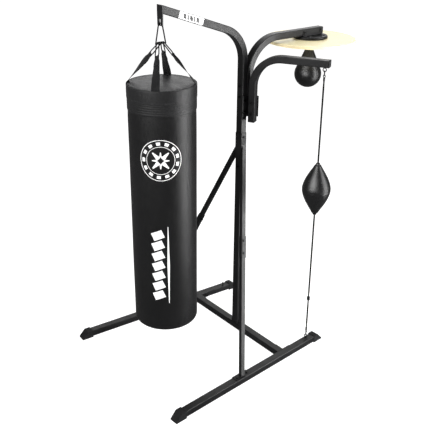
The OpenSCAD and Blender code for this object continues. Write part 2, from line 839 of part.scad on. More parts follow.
// Which way the strap's width points, and how wide it is there
function strap_across(h, i) = i < STRAP_STEPS
    ? unit(blend(hook_across(h), rim_side(h), smooth(i / (STRAP_STEPS - 1)))) : rim_side(h);
function rim_side(h) = rim_tangent(h) * (rim_tangent(h) * hook_across(h) < 0 ? -1 : 1);
function strap_width(i) = blend(strap_top_w, strap_w, smooth(min(1, i / (STRAP_STEPS - 1) / 0.3)));
function strap_run(h, i) = i < STRAP_STEPS - 1 ? hook_way(h)
    : i == STRAP_STEPS - 1 ? unit(hook_way(h) - [0, 0, 1]) : [0, 0, -1];
function strap_face(h, i) = unit(cross(strap_across(h, i), strap_run(h, i)));
function strap_ring(h, i) = let (p = strap_point(h, i), u = strap_across(h, i) * strap_width(i) / 2,
    n = strap_face(h, i) * strap_t / 2) [p - u - n, p + u - n, p + u + n, p - u + n];

module strap(h) {
    last = STRAP_STEPS + 1;
    color(WEBBING_BLACK) in_place() polyhedron(
        points = [for (i = [0:last]) each strap_ring(h, i)],
        faces = concat([[0, 1, 2, 3]],
            [for (i = [0:last - 1], k = [0:3]) let (j = (k + 1) % 4) [4 * i + j, 4 * i + k, 4 * i + 4 + k]],
            [for (i = [0:last - 1], k = [0:3]) let (j = (k + 1) % 4) [4 * i + j, 4 * i + 4 + k, 4 * i + 4 + j]],
            [[4 * last + 3, 4 * last + 2, 4 * last + 1, 4 * last]]));
}

module strap_front_right() strap(HOOKS[0]);
module strap_rear_right() strap(HOOKS[1]);
module strap_rear_left() strap(HOOKS[2]);
module strap_front_left() strap(HOOKS[3]);

// ---- Bag ----

module at_bag() translate([0, bag_y, 0]) children();

// Half outline of the bag's skin, drawn in from the outside by the given depth
module bag_outline(depth) {
    low_z = bag_bottom_z + depth;
    shoulder_z = bag_top_z - band_h - rib_band_h;
    r = bag_r - depth;
    round_r = base_round - depth;
    square_from = low_z + round_r;
    translate([0, square_from]) square([r, shoulder_z - square_from]);
    translate([0, low_z]) square([r - round_r, round_r + EPS]);
    translate([r - round_r, square_from]) circle(r = round_r);
    translate([0, shoulder_z - EPS]) square([neck_r - depth, bag_top_z - 6 - shoulder_z - depth]);
}

module bag_cover() {
    color(VINYL_BLACK) in_place() at_bag() rotate_extrude() difference() {
        intersection() {
            bag_outline(0);
            square([bag_r + 1, bag_top_z]);
        }
        intersection() {
            bag_outline(cover_t);
            square([bag_r, bag_top_z]);
        }
    }
}

// Top band over the strap ends and the ribbed band below it
module bag_bands() {
    ribs = 5;
    rib_pitch = rib_band_h / ribs;
    color(VINYL_BLACK) in_place() at_bag() rotate_extrude() {
        translate([band_in_r, bag_top_z - band_h]) square([band_out_r - band_in_r, band_h]);
        translate([neck_r + 0.1, bag_top_z - band_h - rib_band_h + 0.1])
            square([bag_r + 1 - neck_r, rib_band_h - 0.1]);
        for (i = [0:ribs - 1])
            translate([bag_r + 0.5, bag_top_z - band_h - rib_band_h + (i + 0.5) * rib_pitch]) circle(r = 2);
    }
}

lid_rise = 7;
lid_t = 5;
lid_r = neck_r - 0.4;

module bag_lid() {
    steps = 10;
    color(VINYL_BLACK) in_place() at_bag() translate([0, 0, bag_top_z - lid_t]) rotate_extrude()
        polygon(concat([[0, 0], [lid_r, 0]],
            [for (i = [0:steps]) [lid_r * (1 - i / steps), lid_t + lid_rise * (1 - pow(1 - i / steps, 2))]]));
}

module bag_filling() {
    color([0.55, 0.52, 0.48]) in_place() at_bag() rotate_extrude() intersection() {
        bag_outline(cover_t + 0.3);
        square([bag_r, bag_top_z - 20]);
    }
}

// ---- Speed ball ----

module at_pivot() translate([0, board_y, 0]) children();

module swivel_clevis() {
    cheek_in = 6;
    cheek_out = 10;
    base_low_z = board_under_z - swivel_plate_t - boss_h;
    color(ZINC) in_place() at_pivot() {
        translate([0, 0, base_low_z - 1]) cylinder(r = stud_r, h = boss_h);
        translate([0, 0, base_low_z + boss_h - 4 + play]) cylinder(r = stud_head_r, h = stud_head_h);
        translate([0, 0, base_low_z - 6]) cylinder(r = 10, h = 5.9);
        for (sx = [-1, 1]) translate([sx * (cheek_in + cheek_out) / 2, 0, 0]) {
            translate([-2, -7, pin_z]) cube([4, 14, base_low_z - 5 - pin_z]);
            translate([-2, 0, pin_z]) rotate([0, 90, 0]) cylinder(r = 7, h = 4);
        }
        translate([-14, 0, pin_z]) rotate([0, 90, 0]) cylinder(r = pin_r, h = 28);
        for (x = [-14, 12]) translate([x, 0, pin_z]) rotate([0, 90, 0]) cylinder(r = 5, h = 2);
    }
}

// Half outline of the speed ball: a sphere with a cone drawn out to the neck, inset by depth
module speed_outline(depth) {
    r = speed_r - depth;
    drop = neck_top_z - speed_z;
    a = asin((speed_r - neck_top_r) / drop) - 2;
    intersection() {
        union() {
            translate([0, speed_z]) circle(r = r);
            polygon([[0, speed_z], [r * cos(a), speed_z + r * sin(a)], [neck_top_r - depth, neck_top_z - depth],
                [0, neck_top_z - depth]]);
        }
        translate([0, speed_z - 100]) square([100, 400]);
    }
}

module speed_ball() {
    color(VINYL_BLACK) in_place() at_pivot() {
        rotate_extrude() difference() {
            speed_outline(0);
            speed_outline(skin_t);
        }
        difference() {
            union() {
                translate([-5.8, 0, pin_z]) rotate([0, 90, 0]) cylinder(r = 8.5, h = 11.6);
                translate([-5.8, -8.5, neck_top_z - EPS]) cube([11.6, 17, pin_z - neck_top_z]);
            }
            translate([-8, 0, pin_z]) rotate([0, 90, 0]) cylinder(r = pin_r + play, h = 16);
        }
    }
}

// ---- Double-end ball and its cords ----

module at_line() translate([eye_x, eye_y, 0]) children();

// Closed link in the plane across the side arm, between two wire centres
module link(top_z, low_z) {
    color(ZINC) in_place() at_line() rotate([0, 0, side_turn + 90]) upright() {
        translate([0, top_z - link_r]) wire_arc(link_r, link_wire_r, 0, 180);
        translate([0, low_z + link_r]) wire_arc(link_r, link_wire_r, 180, 360);
        for (x = [-link_r, link_r]) rod([x, low_z + link_r, 0], [x, top_z - link_r, 0], link_wire_r);
    }
}

module upper_link() link(upper_link_top, upper_link_low);
module lower_link() link(lower_link_top, lower_link_low);

// Ring and crimped ferrule at a cord's end: the ring's centre is at the origin and the cord leaves downward
module cord_eye() {
    upright() wire_ring(cord_eye_r, link_wire_r);
    translate([0, 0, -cord_eye_r - ferrule_h]) difference() {
        cylinder(r = ferrule_r, h = ferrule_h);
        translate([0, 0, -1]) cylinder(r = cord_r, h = ferrule_h - ferrule_cap + 1);
    }
}

module upper_cord_eye() {
    color(ZINC) in_place() at_line() translate([0, 0, upper_cord_eye_z]) rotate([0, 0, side_turn]) cord_eye();
}

module lower_cord_eye() {
    color(ZINC) in_place() at_line() translate([0, 0, lower_cord_eye_z]) rotate([180, 0, side_turn]) cord_eye();
}

module cord(low_z, high_z) {
    color(RUBBER_BLACK) in_place() at_line() translate([0, 0, low_z]) cylinder(r = cord_r, h = high_z - low_z);
}

module upper_cord() {
    cord(double_z + double_half_h - socket_depth, upper_cord_eye_z - cord_eye_r - ferrule_cap);
}

module lower_cord() {
    cord(lower_cord_eye_z + cord_eye_r + ferrule_cap, cord_tip_z);
}

// Short moulded slider that sets the cord's length
module cord_stopper() {
    color(RUBBER_BLACK) in_place() at_line() translate([0, 0, stopper_z]) difference() {
        cylinder(r = 9, h = 20);
        translate([0, 0, -1]) cylinder(r = cord_r, h = 22);
    }
}

DOUBLE_STEPS = 24;
tail_len = 12;

// Radius of the double-end ball at a part t of the way from its middle to the root of a tail
function double_reach(t, depth) = let (r = double_d / 2 - depth, root = tail_r + 7 - depth)
    root + (r - root) * (0.8 * pow(cos(90 * t), 1.1) + 0.2 * (1 - t));

// Half outline of the double-end ball's hollow, drawn in from its skin by the given depth
module double_outline(depth) {
    span = double_half_h - tail_len - depth;
    translate([0, double_z]) polygon(concat([[0, span], [0, -span]],
        [for (i = [-DOUBLE_STEPS:DOUBLE_STEPS]) [double_reach(abs(i) / DOUBLE_STEPS, depth), span * i / DOUBLE_STEPS]]));
}

module double_end_ball() {
    color(VINYL_BLACK) in_place() at_line() rotate_extrude() difference() {
        union() {
            difference() {
                double_outline(0);
                double_outline(skin_t);
            }
            for (z = [-double_half_h, double_half_h - socket_depth - 4])
                translate([0, double_z + z]) square([tail_r, socket_depth + 4]);
        }
        translate([0, double_low_z - 1]) square([socket_r, socket_depth + 1]);
        translate([0, double_z + double_half_h - socket_depth]) square([cord_r, socket_depth + 1]);
    }
}

leg_left();
leg_right();
foot_front_left();
foot_front_right();
foot_rear_left();
foot_rear_right();
crossbar();
corner_bracket_left();
corner_bracket_right();
post_foot();
post_lower();
post_insert();
post_collar();
main_arm();
hanger_plate();
arm_label();
rear_arm();
rear_arm_cap();
board_saddle();
board_flange();
rebound_board();
swivel_base();
side_arm();
side_arm_cap();
side_arm_plug();
side_arm_bracket();
hook_eye();
anchor_eye_left();
anchor_eye_right();
brace_upper_left();
brace_upper_right();
brace_joint_left();
brace_joint_right();
brace_lower_left();
brace_lower_right();
base_screws();
post_bolts();
arm_bolts();
brace_bolts();
board_screws();
delta_ring();
snap_hooks();
strap_front_right();
strap_rear_right();
strap_rear_left();
strap_front_left();
bag_cover();
bag_bands();
bag_lid();
bag_filling();
swivel_clevis();
speed_ball();
upper_link();
upper_cord_eye();
upper_cord();
double_end_ball();
lower_link();
lower_cord_eye();
lower_cord();
cord_stopper();
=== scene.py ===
import json
import math

import bpy
from mathutils import Matrix, Vector, noise


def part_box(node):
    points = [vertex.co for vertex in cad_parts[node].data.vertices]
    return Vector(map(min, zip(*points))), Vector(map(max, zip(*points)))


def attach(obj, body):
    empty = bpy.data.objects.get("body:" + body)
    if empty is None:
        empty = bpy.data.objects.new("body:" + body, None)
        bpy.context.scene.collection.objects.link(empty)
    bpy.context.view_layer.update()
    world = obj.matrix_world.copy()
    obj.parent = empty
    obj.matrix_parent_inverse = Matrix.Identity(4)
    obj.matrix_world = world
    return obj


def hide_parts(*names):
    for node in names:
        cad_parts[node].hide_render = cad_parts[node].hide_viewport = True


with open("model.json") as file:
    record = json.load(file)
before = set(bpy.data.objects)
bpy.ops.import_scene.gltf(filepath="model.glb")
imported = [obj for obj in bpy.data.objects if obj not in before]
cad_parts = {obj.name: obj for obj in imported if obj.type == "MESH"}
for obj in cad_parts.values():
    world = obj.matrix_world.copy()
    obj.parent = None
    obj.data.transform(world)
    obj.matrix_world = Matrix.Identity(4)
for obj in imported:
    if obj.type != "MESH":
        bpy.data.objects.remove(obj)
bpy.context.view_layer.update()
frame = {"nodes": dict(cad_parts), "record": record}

MM = 0.001
UP = Vector((0, 0, 1))


def centre(node):
    low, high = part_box(node)
    return (Vector(low) + Vector(high)) / 2


# ---- Camera ----

PLACE = Vector((2.9609, -2.5424, 2.5735))
LENS = 61.70
PITCH = math.radians(24.50)  # downward
YAW = math.radians(51.13)  # from +Y toward -X
ROLL = math.radians(0.516)


def make_camera():
    forward = Vector((-math.sin(YAW) * math.cos(PITCH), math.cos(YAW) * math.cos(PITCH), -math.sin(PITCH)))
    right = Vector((math.cos(YAW), math.sin(YAW), 0))
    up = right.cross(forward)
    x = right * math.cos(ROLL) + up * math.sin(ROLL)
    y = up * math.cos(ROLL) - right * math.sin(ROLL)
    data = bpy.data.cameras.new("camera")
    data.sensor_width = 36
    data.lens = LENS
    data.clip_end = 100
    camera = bpy.data.objects.new("camera", data)
    bpy.context.collection.objects.link(camera)
    turn = Matrix((x, y, -forward)).transposed().to_4x4()
    camera.matrix_world = Matrix.Translation(PLACE) @ turn
    bpy.context.scene.camera = camera


make_camera()


# ---- Materials ----


class Look:
    """A procedural material that is built up on one Principled shader."""

    def __init__(self, name, colour, roughness, metallic=0.0, specular=0.5):
        self.material = bpy.data.materials.new(name)
        self.material.use_nodes = True
        self.nodes = self.material.node_tree.nodes
        self.links = self.material.node_tree.links
        self.shader = self.nodes["Principled BSDF"]
        self.set("Base Color", (*colour, 1))
        self.set("Roughness", roughness)
        self.set("Metallic", metallic)
        self.set("Specular IOR Level", specular)
        self.place = self.nodes.new("ShaderNodeTexCoord").outputs["Object"]
        self.normal = None

    def set(self, socket, value):
        self.shader.inputs[socket].default_value = value

    def link(self, value, socket):
        if isinstance(value, bpy.types.NodeSocket):
            self.links.new(value, socket)
        else:
            socket.default_value = value

    def stretched(self, scale, turn=(0, 0, 0)):
        node = self.nodes.new("ShaderNodeMapping")
        self.links.new(self.place, node.inputs["Vector"])
        node.inputs["Scale"].default_value = scale
        node.inputs["Rotation"].default_value = turn
        return node.outputs["Vector"]

    def uv(self, scale):
        coords = self.nodes.new("ShaderNodeTexCoord").outputs["UV"]
        node = self.nodes.new("ShaderNodeMapping")
        self.links.new(coords, node.inputs["Vector"])
        node.inputs["Scale"].default_value = scale
        return node.outputs["Vector"]

    def noise(self, scale, detail=3, place=None, rough=0.5):
        node = self.nodes.new("ShaderNodeTexNoise")
        self.links.new(place or self.place, node.inputs["Vector"])
        node.inputs["Scale"].default_value = scale
        node.inputs["Detail"].default_value = detail
        node.inputs["Roughness"].default_value = rough
        return node.outputs["Fac"]

    def cells(self, scale, place=None, feature="DISTANCE_TO_EDGE"):
        node = self.nodes.new("ShaderNodeTexVoronoi")
        node.feature = feature
        self.links.new(place or self.place, node.inputs["Vector"])
        node.inputs["Scale"].default_value = scale
        return node.outputs["Distance"]

    def wave(self, scale, place=None, direction="X", distortion=0.0, detail=1):
        node = self.nodes.new("ShaderNodeTexWave")
        node.bands_direction = direction
        self.links.new(place or self.place, node.inputs["Vector"])
        node.inputs["Scale"].default_value = scale
        node.inputs["Distortion"].default_value = distortion
        node.inputs["Detail"].default_value = detail
        return node.outputs["Fac"]

    def maths(self, operation, a, b=0.0):
        node = self.nodes.new("ShaderNodeMath")
        node.operation = operation
        self.link(a, node.inputs[0])
        self.link(b, node.inputs[1])
        return node.outputs[0]

    def ramp(self, value, low, high, out_low=0.0, out_high=1.0):
        node = self.nodes.new("ShaderNodeMapRange")
        self.link(value, node.inputs["Value"])
        limits = {"From Min": low, "From Max": high, "To Min": out_low, "To Max": out_high}
        for socket, number in limits.items():
            node.inputs[socket].default_value = number
        return node.outputs["Result"]

    def mix(self, factor, a, b):
        node = self.nodes.new("ShaderNodeMix")
        node.data_type = "RGBA"
        self.link(factor, node.inputs[0])
        for value, socket in ((a, node.inputs[6]), (b, node.inputs[7])):
            self.link(value if isinstance(value, bpy.types.NodeSocket) else (*value, 1), socket)
        return node.outputs[2]

    def colour(self, value):
        self.link(value, self.shader.inputs["Base Color"])

    def rough(self, value):
        self.link(value, self.shader.inputs["Roughness"])

    def bump(self, height, distance, strength=1.0):
        node = self.nodes.new("ShaderNodeBump")
        node.inputs["Distance"].default_value = distance
        node.inputs["Strength"].default_value = strength
        self.links.new(height, node.inputs["Height"])
        if self.normal:
            self.links.new(self.normal, node.inputs["Normal"])
        self.normal = node.outputs["Normal"]
        self.links.new(self.normal, self.shader.inputs["Normal"])


def powder_coat():
    look = Look("powder_coat", (0.01, 0.01, 0.0105), 0.4, specular=0.25)
    patches = look.noise(7, 4)
    scuffs = look.ramp(look.noise(55, 6, look.stretched((1, 1, 0.35)), 0.7), 0.66, 0.80)
    base = look.mix(look.ramp(patches, 0.35, 0.65), (0.004, 0.004, 0.0043), (0.008, 0.008, 0.0086))
    look.colour(look.mix(look.maths("MULTIPLY", scuffs, 0.3), base, (0.030, 0.030, 0.032)))
    look.rough(look.ramp(look.noise(24, 4), 0.3, 0.7, 0.34, 0.46))
    look.bump(look.noise(900, 2), 0.0004, 0.22)
    return look.material


def rubber():
    look = Look("rubber", (0.010, 0.010, 0.011), 0.62, specular=0.25)
    dust = look.ramp(look.noise(18, 5), 0.45, 0.75)
    look.colour(look.mix(look.maths("MULTIPLY", dust, 0.5), (0.006, 0.006, 0.0065), (0.018, 0.0175, 0.017)))
    look.rough(look.ramp(look.noise(40, 3), 0.3, 0.7, 0.62, 0.82))
    look.bump(look.noise(1500, 2), 0.0003, 0.25)
    return look.material


def vinyl(name, tone, roughness, grain=520.0, depth=0.00035):
    look = Look(name, (tone, tone, tone * 1.04), roughness, specular=0.24)
    patches = look.ramp(look.noise(5, 4, look.stretched((1, 1, 0.5))), 0.35, 0.65)
    dark = (tone * 0.85, tone * 0.85, tone * 0.88)
    light = (tone * 1.2, tone * 1.2, tone * 1.25)
    look.colour(look.mix(patches, dark, light))
    look.rough(look.ramp(look.noise(30, 4), 0.3, 0.7, roughness - 0.05, roughness + 0.07))
    pores = look.ramp(look.cells(grain), 0.0, 0.16)
    look.bump(pores, depth, 0.35)
    look.bump(look.noise(70, 4), 0.0012, 0.12)
    return look.material


def webbing():
    look = Look("webbing", (0.008, 0.008, 0.0085), 0.84, specular=0.2)
    rows = look.wave(150, look.uv((1, 1, 1)), "X")
    ribs = look.wave(95, look.uv((1, 1, 1)), "Y")
    weave = look.maths("MULTIPLY", rows, ribs)
    look.colour(look.mix(weave, (0.003, 0.003, 0.0033), (0.012, 0.012, 0.013)))
    look.bump(weave, 0.0006, 0.7)
    look.bump(look.noise(600, 3), 0.0003, 0.3)
    look.set("Sheen Weight", 0.06)
    look.set("Sheen Roughness", 0.5)
    return look.material


def steel(name, tone, roughness):
    look = Look(name, (tone, tone, tone * 1.03), roughness, metallic=1.0)
    blotches = look.ramp(look.noise(90, 5), 0.3, 0.7)
    dark = (tone * 0.75, tone * 0.76, tone * 0.8)
    light = (tone * 1.2, tone * 1.2, tone * 1.22)
    look.colour(look.mix(blotches, dark, light))
    streaks = look.noise(220, 4, look.stretched((1, 1, 0.2)))
    look.rough(look.ramp(streaks, 0.3, 0.7, roughness - 0.08, roughness + 0.12))
    look.bump(look.noise(700, 3), 0.0002, 0.2)
    return look.material


def pine():
    look = Look("pine", (0.92, 0.82, 0.52), 0.42, specular=0.3)
    along = look.stretched((1, 9, 3))
    grain = look.wave(5.5, along, "Y", distortion=7.0, detail=3)
    fibres = look.noise(60, 5, look.stretched((0.5, 14, 14)))
    face = look.mix(look.ramp(grain, 0.15, 0.95), (0.95, 0.88, 0.58), (0.87, 0.76, 0.44))
    face = look.mix(look.ramp(fibres, 0.35, 0.75, 0.0, 0.35), face, (0.76, 0.60, 0.32))
    plies = look.ramp(look.wave(88, None, "Z"), 0.35, 0.65)
    edge = look.mix(plies, (0.88, 0.76, 0.48), (0.70, 0.56, 0.32))
    flat = look.nodes.new("ShaderNodeSeparateXYZ")
    look.links.new(look.nodes.new("ShaderNodeNewGeometry").outputs["Normal"], flat.inputs[0])
    on_face = look.ramp(look.maths("ABSOLUTE", flat.outputs["Z"]), 0.3, 0.6)
    look.colour(look.mix(on_face, edge, face))
    look.rough(look.ramp(fibres, 0.3, 0.7, 0.36, 0.52))
    look.bump(fibres, 0.0003, 0.25)
    look.set("Coat Weight", 0.25)
    look.set("Coat Roughness", 0.25)
    return look.material


def printed(name, colour):
    look = Look(name, colour, 0.5, specular=0.4)
    worn = look.ramp(look.noise(260, 5, rough=0.7), 0.62, 0.78)
    look.colour(look.mix(look.maths("MULTIPLY", worn, 0.6), colour, tuple(c * 0.55 for c in colour)))
    look.rough(look.ramp(look.noise(80, 3), 0.3, 0.7, 0.42, 0.6))
    look.bump(look.noise(500, 2), 0.0002, 0.2)
    return look.material


def elastic():
    look = Look("elastic_cord", (0.006, 0.006, 0.0065), 0.8, specular=0.04)
    one = look.wave(140, look.stretched((1, 1, 1), (0.7, 0.7, 0)), "DIAGONAL")
    other = look.wave(140, look.stretched((1, 1, 1), (-0.7, -0.7, 0)), "DIAGONAL")
    braid = look.maths("MAXIMUM", one, other)
    look.colour(look.mix(braid, (0.003, 0.003, 0.0033), (0.009, 0.009, 0.0097)))
    look.bump(braid, 0.0006, 0.8)
    return look.material


def thread():
    look = Look("thread", (0.045, 0.045, 0.048), 0.7, specular=0.3)
    look.bump(look.wave(2200, None, "DIAGONAL"), 0.0002, 0.6)
    return look.material


def floor_paint():
    look = Look("floor_paint", (0.3, 0.3, 0.3), 0.9, specular=0.0)
    look.colour(look.mix(look.noise(1.2, 2), (0.28, 0.28, 0.28), (0.32, 0.32, 0.32)))
    look.set("Emission Color", (1, 1, 1, 1))
    look.set("Emission Strength", 1.0)
    return look.material


POWDER = powder_coat()
RUBBER = rubber()
BAG_VINYL = vinyl("bag_vinyl", 0.0058, 0.34)
# the bands' vinyl is painted lighter than the body's vinyl: a painted highlight for the light that catches
# the bands' bulge
BAND_VINYL_PAINTED_HIGHLIGHT = vinyl("band_vinyl_painted_highlight", 0.010, 0.36, 640.0)
# the lid's vinyl is painted much lighter than the body's vinyl: a painted reflection of the pale studio on
# the lid's upward face
LID_VINYL_PAINTED_REFLECTION = vinyl("lid_vinyl_painted_reflection", 0.021, 0.42, 480.0)
BALL_LEATHER = vinyl("ball_leather", 0.0035, 0.3, 900.0, 0.00025)
WEBBING = webbing()
STEEL = steel("dark_steel", 0.022, 0.38)
ZINC = steel("zinc", 0.035, 0.36)
PINE = pine()
LABEL = printed("label_film", (0.86, 0.86, 0.86))
PRINT = printed("white_print", (0.88, 0.88, 0.88))
INK = printed("black_ink", (0.02, 0.02, 0.02))
ELASTIC = elastic()
THREAD = thread()

SLOT_LOOKS = {
    "frame_black": POWDER,
    "rubber_black": RUBBER,
    "vinyl_black": BAG_VINYL,
    "webbing_black": WEBBING,
    "steel_dark": STEEL,
    "zinc": ZINC,
    "pine": PINE,
    "label_white": LABEL,
    "filling": WEBBING,
}


def dress_nodes():
    """Gives every CAD node the procedural material of its slot."""
    slots = {part["node"]: part["material_slot"] for part in frame["record"]["subparts"]}
    for name, node in frame["nodes"].items():
        for holder in node.material_slots:
            holder.material = SLOT_LOOKS[slots[name]]


dress_nodes()


# ---- Mesh helpers ----


def add_piece(name, vertices, faces, material, body, smooth=True):
    mesh = bpy.data.meshes.new(name)
    mesh.from_pydata([tuple(v) for v in vertices], [], faces)
    mesh.update()
    for face in mesh.polygons:
        face.use_smooth = smooth
    mesh.materials.append(material)
    piece = bpy.data.objects.new(name, mesh)
    bpy.context.collection.objects.link(piece)
    if body:
        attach(piece, body)
    return piece


def turned(profile, columns, axis, loop=False, warp=None):
    """Vertices and faces of a profile of (radius, height) turned round a vertical axis. A radius of
    zero at either end closes it. warp(angle, radius, height) may return a new radius and height."""
    vertices, rings = [], []
    for radius, height in profile:
        if radius == 0:
            rings.append([len(vertices)] * columns)
            vertices.append(Vector((axis.x, axis.y, height)))
            continue
        rings.append(list(range(len(vertices), len(vertices) + columns)))
        for k in range(columns):
            angle = 2 * math.pi * k / columns
            r, z = warp(angle, radius, height) if warp else (radius, height)
            vertices.append(Vector((axis.x + r * math.cos(angle), axis.y + r * math.sin(angle), z)))
    faces = []
    pairs = list(zip(rings, rings[1:]))
    if loop:
        pairs.append((rings[-1], rings[0]))
    for low, high in pairs:
        for k in range(columns):
            n = (k + 1) % columns
            corners = [low[k], low[n], high[n], high[k]]
            face = list(dict.fromkeys(corners))
            if len(face) > 2:
                faces.append(face)
    return vertices, faces


def arc(cx, cz, radius, start, end, steps):
    """Points of a profile's rounded corner, angles in degrees."""
    angles = [math.radians(start + (end - start) * i / steps) for i in range(steps + 1)]
    return [(cx + radius * math.cos(a), cz + radius * math.sin(a)) for a in angles]


def steps_between(a, b, size):
    count = max(1, round(abs(b - a) / size))
    return [a + (b - a) * i / count for i in range(count + 1)]


def smooth(t):
    return t * t * (3 - 2 * t)


def lumps(point, size, seed=0.0):
    """Smooth noise of about -1 to 1 with features of the given size in metres."""
    return noise.noise(Vector((point[0] / size + seed, point[1] / size - seed, point[2] / size + 2 * seed)))


def ribbon(stations, thickness, edge=0.0008):
    """Vertices, faces and UVs of a flat strap. Each station is (point, across, face normal, width)."""
    vertices, uvs, along = [], [], 0.0
    last = None
    for point, across, normal, width in stations:
        if last is not None:
            along += (point - last).length
        last = point
        half, t = width / 2, thickness / 2
        inner = half - edge
        outline = [(-half, 0), (-inner, t), (0, t), (inner, t), (half, 0), (inner, -t), (0, -t), (-inner, -t)]
        for u, v in outline:
            vertices.append(point + across * u + normal * v)
            uvs.append((along, u))
    count = 8
    faces = tube_faces(0, len(stations), count)
    faces.append(list(reversed(range(count))))
    faces.append([len(vertices) - count + k for k in range(count)])
    return vertices, faces, uvs


def tube_faces(base, rings, sides):
    """Faces between the rings of a tube whose vertices start at base, with sides vertices to a ring."""
    faces = []
    for i in range(rings - 1):
        for k in range(sides):
            n = (k + 1) % sides
            low, high = base + i * sides, base + (i + 1) * sides
            faces.append([low + k, low + n, high + n, high + k])
    return faces


def add_ribbon(name, stations, thickness, body, material=None):
    vertices, faces, uvs = ribbon(stations, thickness)
    piece = add_piece(name, vertices, faces, material or WEBBING, body)
    layer = piece.data.uv_layers.new(name="strap")
    for corner in piece.data.loops:
        layer.data[corner.index].uv = uvs[corner.vertex_index]
    return piece


def stitch_row(rows, length=0.0042, radius=0.00045):
    """Vertices and faces of sewn stitches. Each row is a list of (point, normal) along a seam."""
    vertices, faces = [], []
    sides = 6
    sections = ((-0.5, 0.35), (-0.3, 1.0), (0.3, 1.0), (0.5, 0.35))
    for row in rows:
        for (a, na), (b, nb) in zip(row, row[1:]):
            along = (b - a).normalized()
            normal = (na + nb).normalized()
            side = along.cross(normal)
            middle = (a + b) / 2
            base = len(vertices)
            for offset, size in sections:
                for k in range(sides):
                    turn = 2 * math.pi * k / sides
                    out = side * math.cos(turn) + normal * math.sin(turn)
                    vertices.append(middle + along * (offset * length) + out * radius * size)
            faces += tube_faces(base, len(sections), sides)
            faces.append([base + k for k in reversed(range(sides))])
            faces.append([base + 3 * sides + k for k in range(sides)])
    return vertices, faces


def add_stitches(name, rows, body, length=0.0042, radius=0.00045):
    vertices, faces = stitch_row(rows, length, radius)
    return add_piece(name, vertices, faces, THREAD, body)


def ring_row(axis, radius, height, pitch=0.006):
    count = round(2 * math.pi * radius / pitch)
    row = []
    for k in range(count + 1):
        angle = 2 * math.pi * k / count
        out = Vector((math.cos(angle), math.sin(angle), 0))
        row.append((Vector((axis.x, axis.y, height)) + out * radius, out))
    return row


def inflate(piece, pinned, pressure, cap, frames=20):
    """Swells a piece with Cloth. The pinned vertices hold, and no point moves further than cap."""
    group = piece.vertex_groups.new(name="pins")
    for index, weight in pinned.items():
        group.add([index], weight, "REPLACE")
    start = [v.co.copy() for v in piece.data.vertices]
    cloth = piece.modifiers.new("cloth", "CLOTH")
    settings = cloth.settings
    settings.quality = 6
    settings.mass = 0.3
    settings.tension_stiffness = 25
    settings.compression_stiffness = 25
    settings.bending_stiffness = 2
    settings.use_pressure = True
    settings.uniform_pressure_force = pressure
    settings.vertex_group_mass = "pins"
    settings.effector_weights.gravity = 0
    cloth.collision_settings.use_collision = False
    scene = bpy.context.scene
    for step in range(1, frames + 1):
        scene.frame_set(step)
    graph = bpy.context.evaluated_depsgraph_get()
    swollen = [v.co.copy() for v in piece.evaluated_get(graph).data.vertices]
    piece.modifiers.remove(cloth)
    scene.frame_set(1)
    for vertex, before, after in zip(piece.data.vertices, start, swollen):
        move = after - before
        if move.length > cap:
            move *= cap / move.length
        vertex.co = before + move
    piece.vertex_groups.clear()
    piece.data.update()


# ---- Elastic cords ----

CORD_R = 4.8 * MM
SQUEEZE = 25 * MM  # a fitting holds the cord to its CAD solid's radius for this far either way


def make_cord(node, body):
    """A taut braid. It is thinner where its ferrule, the ball's socket or the stopper squeezes it."""
    low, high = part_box(node)
    middle = centre(node)
    held = (high[0] - low[0]) / 2 / CORD_R
    fittings = (low[2], high[2], centre("cord_stopper").z)
    curve = bpy.data.curves.new(node + "_curve", "CURVE")
    curve.dimensions = "3D"
    curve.bevel_depth = CORD_R
    curve.bevel_resolution = 6
    curve.use_fill_caps = True
    spline = curve.splines.new("POLY")
    count = 40
    spline.points.add(count - 1)
    for i, point in enumerate(spline.points):
        z = high[2] + (low[2] - high[2]) * i / (count - 1)
        gap = min(abs(z - fitting) for fitting in fittings)
        point.co = (middle.x, middle.y, z, 1)
        point.radius = held + (1 - held) * smooth(min(1.0, max(0.0, gap / SQUEEZE - 1)))
    curve.materials.append(ELASTIC)
    cord = bpy.data.objects.new(node + "_braid", curve)
    bpy.context.collection.objects.link(cord)
    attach(cord, body)
    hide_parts(node)


make_cord("upper_cord", "double_end_ball")
make_cord("lower_cord", "lower_cord")


# ---- Heavy bag ----

BAG = centre("bag_cover")
BAG_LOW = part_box("bag_cover")[0][2]
BODY_R = (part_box("bag_cover")[1][0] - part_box("bag_cover")[0][0]) / 2
BAND_LOW, BAND_TOP = (corner[2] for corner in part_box("bag_bands"))
BAND_SPLIT = BAND_TOP - 68 * MM  # the plain top band is above it and the ribbed band below
NECK_R = BODY_R - 2.5 * MM
BACK_SEAM = math.radians(118)  # the upright seam is at the back, away from the printed front


def from_seam(angle):
    """The angle between a place round the bag and its back seam, from -pi to pi."""
    return (angle - BACK_SEAM + math.pi) % (2 * math.pi) - math.pi


